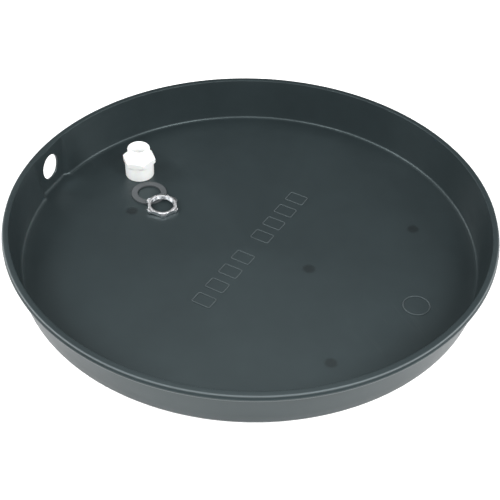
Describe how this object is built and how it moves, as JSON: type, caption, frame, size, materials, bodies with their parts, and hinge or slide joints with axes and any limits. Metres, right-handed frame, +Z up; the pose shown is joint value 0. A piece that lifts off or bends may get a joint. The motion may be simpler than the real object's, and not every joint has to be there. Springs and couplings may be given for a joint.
{
  "type": "appliance drain pan",
  "caption": "Round shallow plastic drain pan with a rolled rim and a side drain hole, with its loose threaded adapter, sealing washer and locknut lying in it.",
  "frame": {"origin": "centre of the pan's underside, on the surface it stands on", "axes": "+Z up through the middle of the pan; the drain port in the side wall faces -X"},
  "size_m": [0.6604, 0.6604, 0.0655],
  "materials": {
    "pan_plastic": "satin injection-moulded polypropylene, dark slate grey",
    "white_pvc": "smooth white moulded PVC",
    "black_rubber": "matt flat rubber sheet",
    "zinc_plated_steel": "bright zinc plate over steel"
  },
  "bodies": {
    "pan": {"pan": "pan_plastic"},
    "adapter": {"drain_adapter": "white_pvc"},
    "washer": {"sealing_washer": "black_rubber"},
    "nut": {"locknut": "zinc_plated_steel"}
  },
  "joints": [
    {"name": "adapter_lift", "type": "slide", "parent": "pan", "child": "adapter", "axis": [0, 0, 1], "range_m": [0, 0.12]},
    {"name": "washer_lift", "type": "slide", "parent": "pan", "child": "washer", "axis": [0, 0, 1], "range_m": [0, 0.09]},
    {"name": "locknut_lift", "type": "slide", "parent": "washer", "child": "nut", "axis": [0, 0, 1], "range_m": [0, 0.09]}
  ]
}
